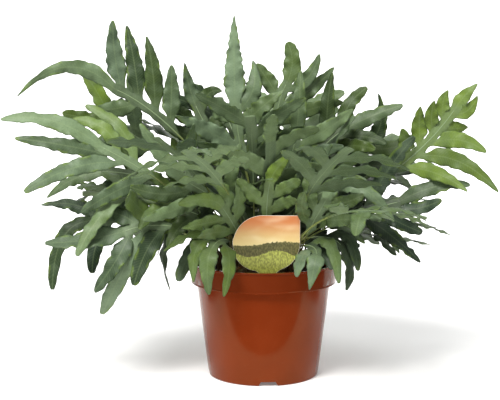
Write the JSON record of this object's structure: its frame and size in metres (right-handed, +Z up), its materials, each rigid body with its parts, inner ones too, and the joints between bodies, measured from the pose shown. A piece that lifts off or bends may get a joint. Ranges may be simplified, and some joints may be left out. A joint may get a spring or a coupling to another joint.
{
  "type": "potted polypody fern",
  "caption": "Fern with long-stalked fronds cut into broad wavy lobes, growing from a creeping rhizome in a plastic nursery pot of peat with a stick-in label.",
  "frame": {"origin": "middle of the underside of the pot, where it stands", "axes": "+Z up; the label faces -Y; +X is to the right as the label is read"},
  "size_m": [0.6132, 0.4848, 0.463],
  "materials": {
    "terracotta_plastic": "glossy",
    "peat": "rough, crumbly",
    "rhizome_bark": "rough, scaly",
    "printed_card": "satin print",
    "blue_green_leaf": "satin, bluish bloom"
  },
  "bodies": {
    "root": {"pot": "terracotta_plastic", "soil": "peat", "rhizome": "rhizome_bark", "label": "printed_card", "frond_crown_02": "blue_green_leaf", "frond_crown_03": "blue_green_leaf", "frond_crown_04": "blue_green_leaf", "frond_crown_07": "blue_green_leaf", "frond_crown_08": "blue_green_leaf", "frond_crown_09": "blue_green_leaf", "frond_crown_10": "blue_green_leaf", "frond_crown_11": "blue_green_leaf", "frond_crown_12": "blue_green_leaf", "frond_crown_13": "blue_green_leaf", "frond_crown_15": "blue_green_leaf", "frond_crown_16": "blue_green_leaf", "frond_crown_17": "blue_green_leaf", "frond_crown_18": "blue_green_leaf", "frond_crown_20": "blue_green_leaf", "frond_crown_21": "blue_green_leaf", "frond_crown_22": "blue_green_leaf", "frond_crown_23": "blue_green_leaf", "frond_crown_24": "blue_green_leaf", "frond_crown_25": "blue_green_leaf", "frond_crown_26": "blue_green_leaf", "frond_crown_27": "blue_green_leaf", "frond_inner_left": "blue_green_leaf", "frond_inner_middle": "blue_green_leaf", "frond_inner_right": "blue_green_leaf", "frond_left_behind": "blue_green_leaf", "frond_left_dark": "blue_green_leaf", "frond_left_hand": "blue_green_leaf", "frond_left_inner": "blue_green_leaf", "frond_left_low": "blue_green_leaf", "frond_left_top_back": "blue_green_leaf", "frond_middle_front": "blue_green_leaf", "frond_middle_left": "blue_green_leaf", "frond_middle_low": "blue_green_leaf", "frond_middle_right": "blue_green_leaf", "frond_right_back": "blue_green_leaf", "frond_right_hang": "blue_green_leaf", "frond_right_hero": "blue_green_leaf", "frond_right_inner": "blue_green_leaf", "frond_right_low": "blue_green_leaf", "frond_right_mid": "blue_green_leaf", "frond_rim_far_left": "blue_green_leaf", "frond_rim_left": "blue_green_leaf", "frond_rim_right": "blue_green_leaf", "frond_spike": "blue_green_leaf", "frond_top_back": "blue_green_leaf", "frond_top_front": "blue_green_leaf", "frond_top_right": "blue_green_leaf", "frond_upper_left": "blue_green_leaf"}
  },
  "joints": []
}
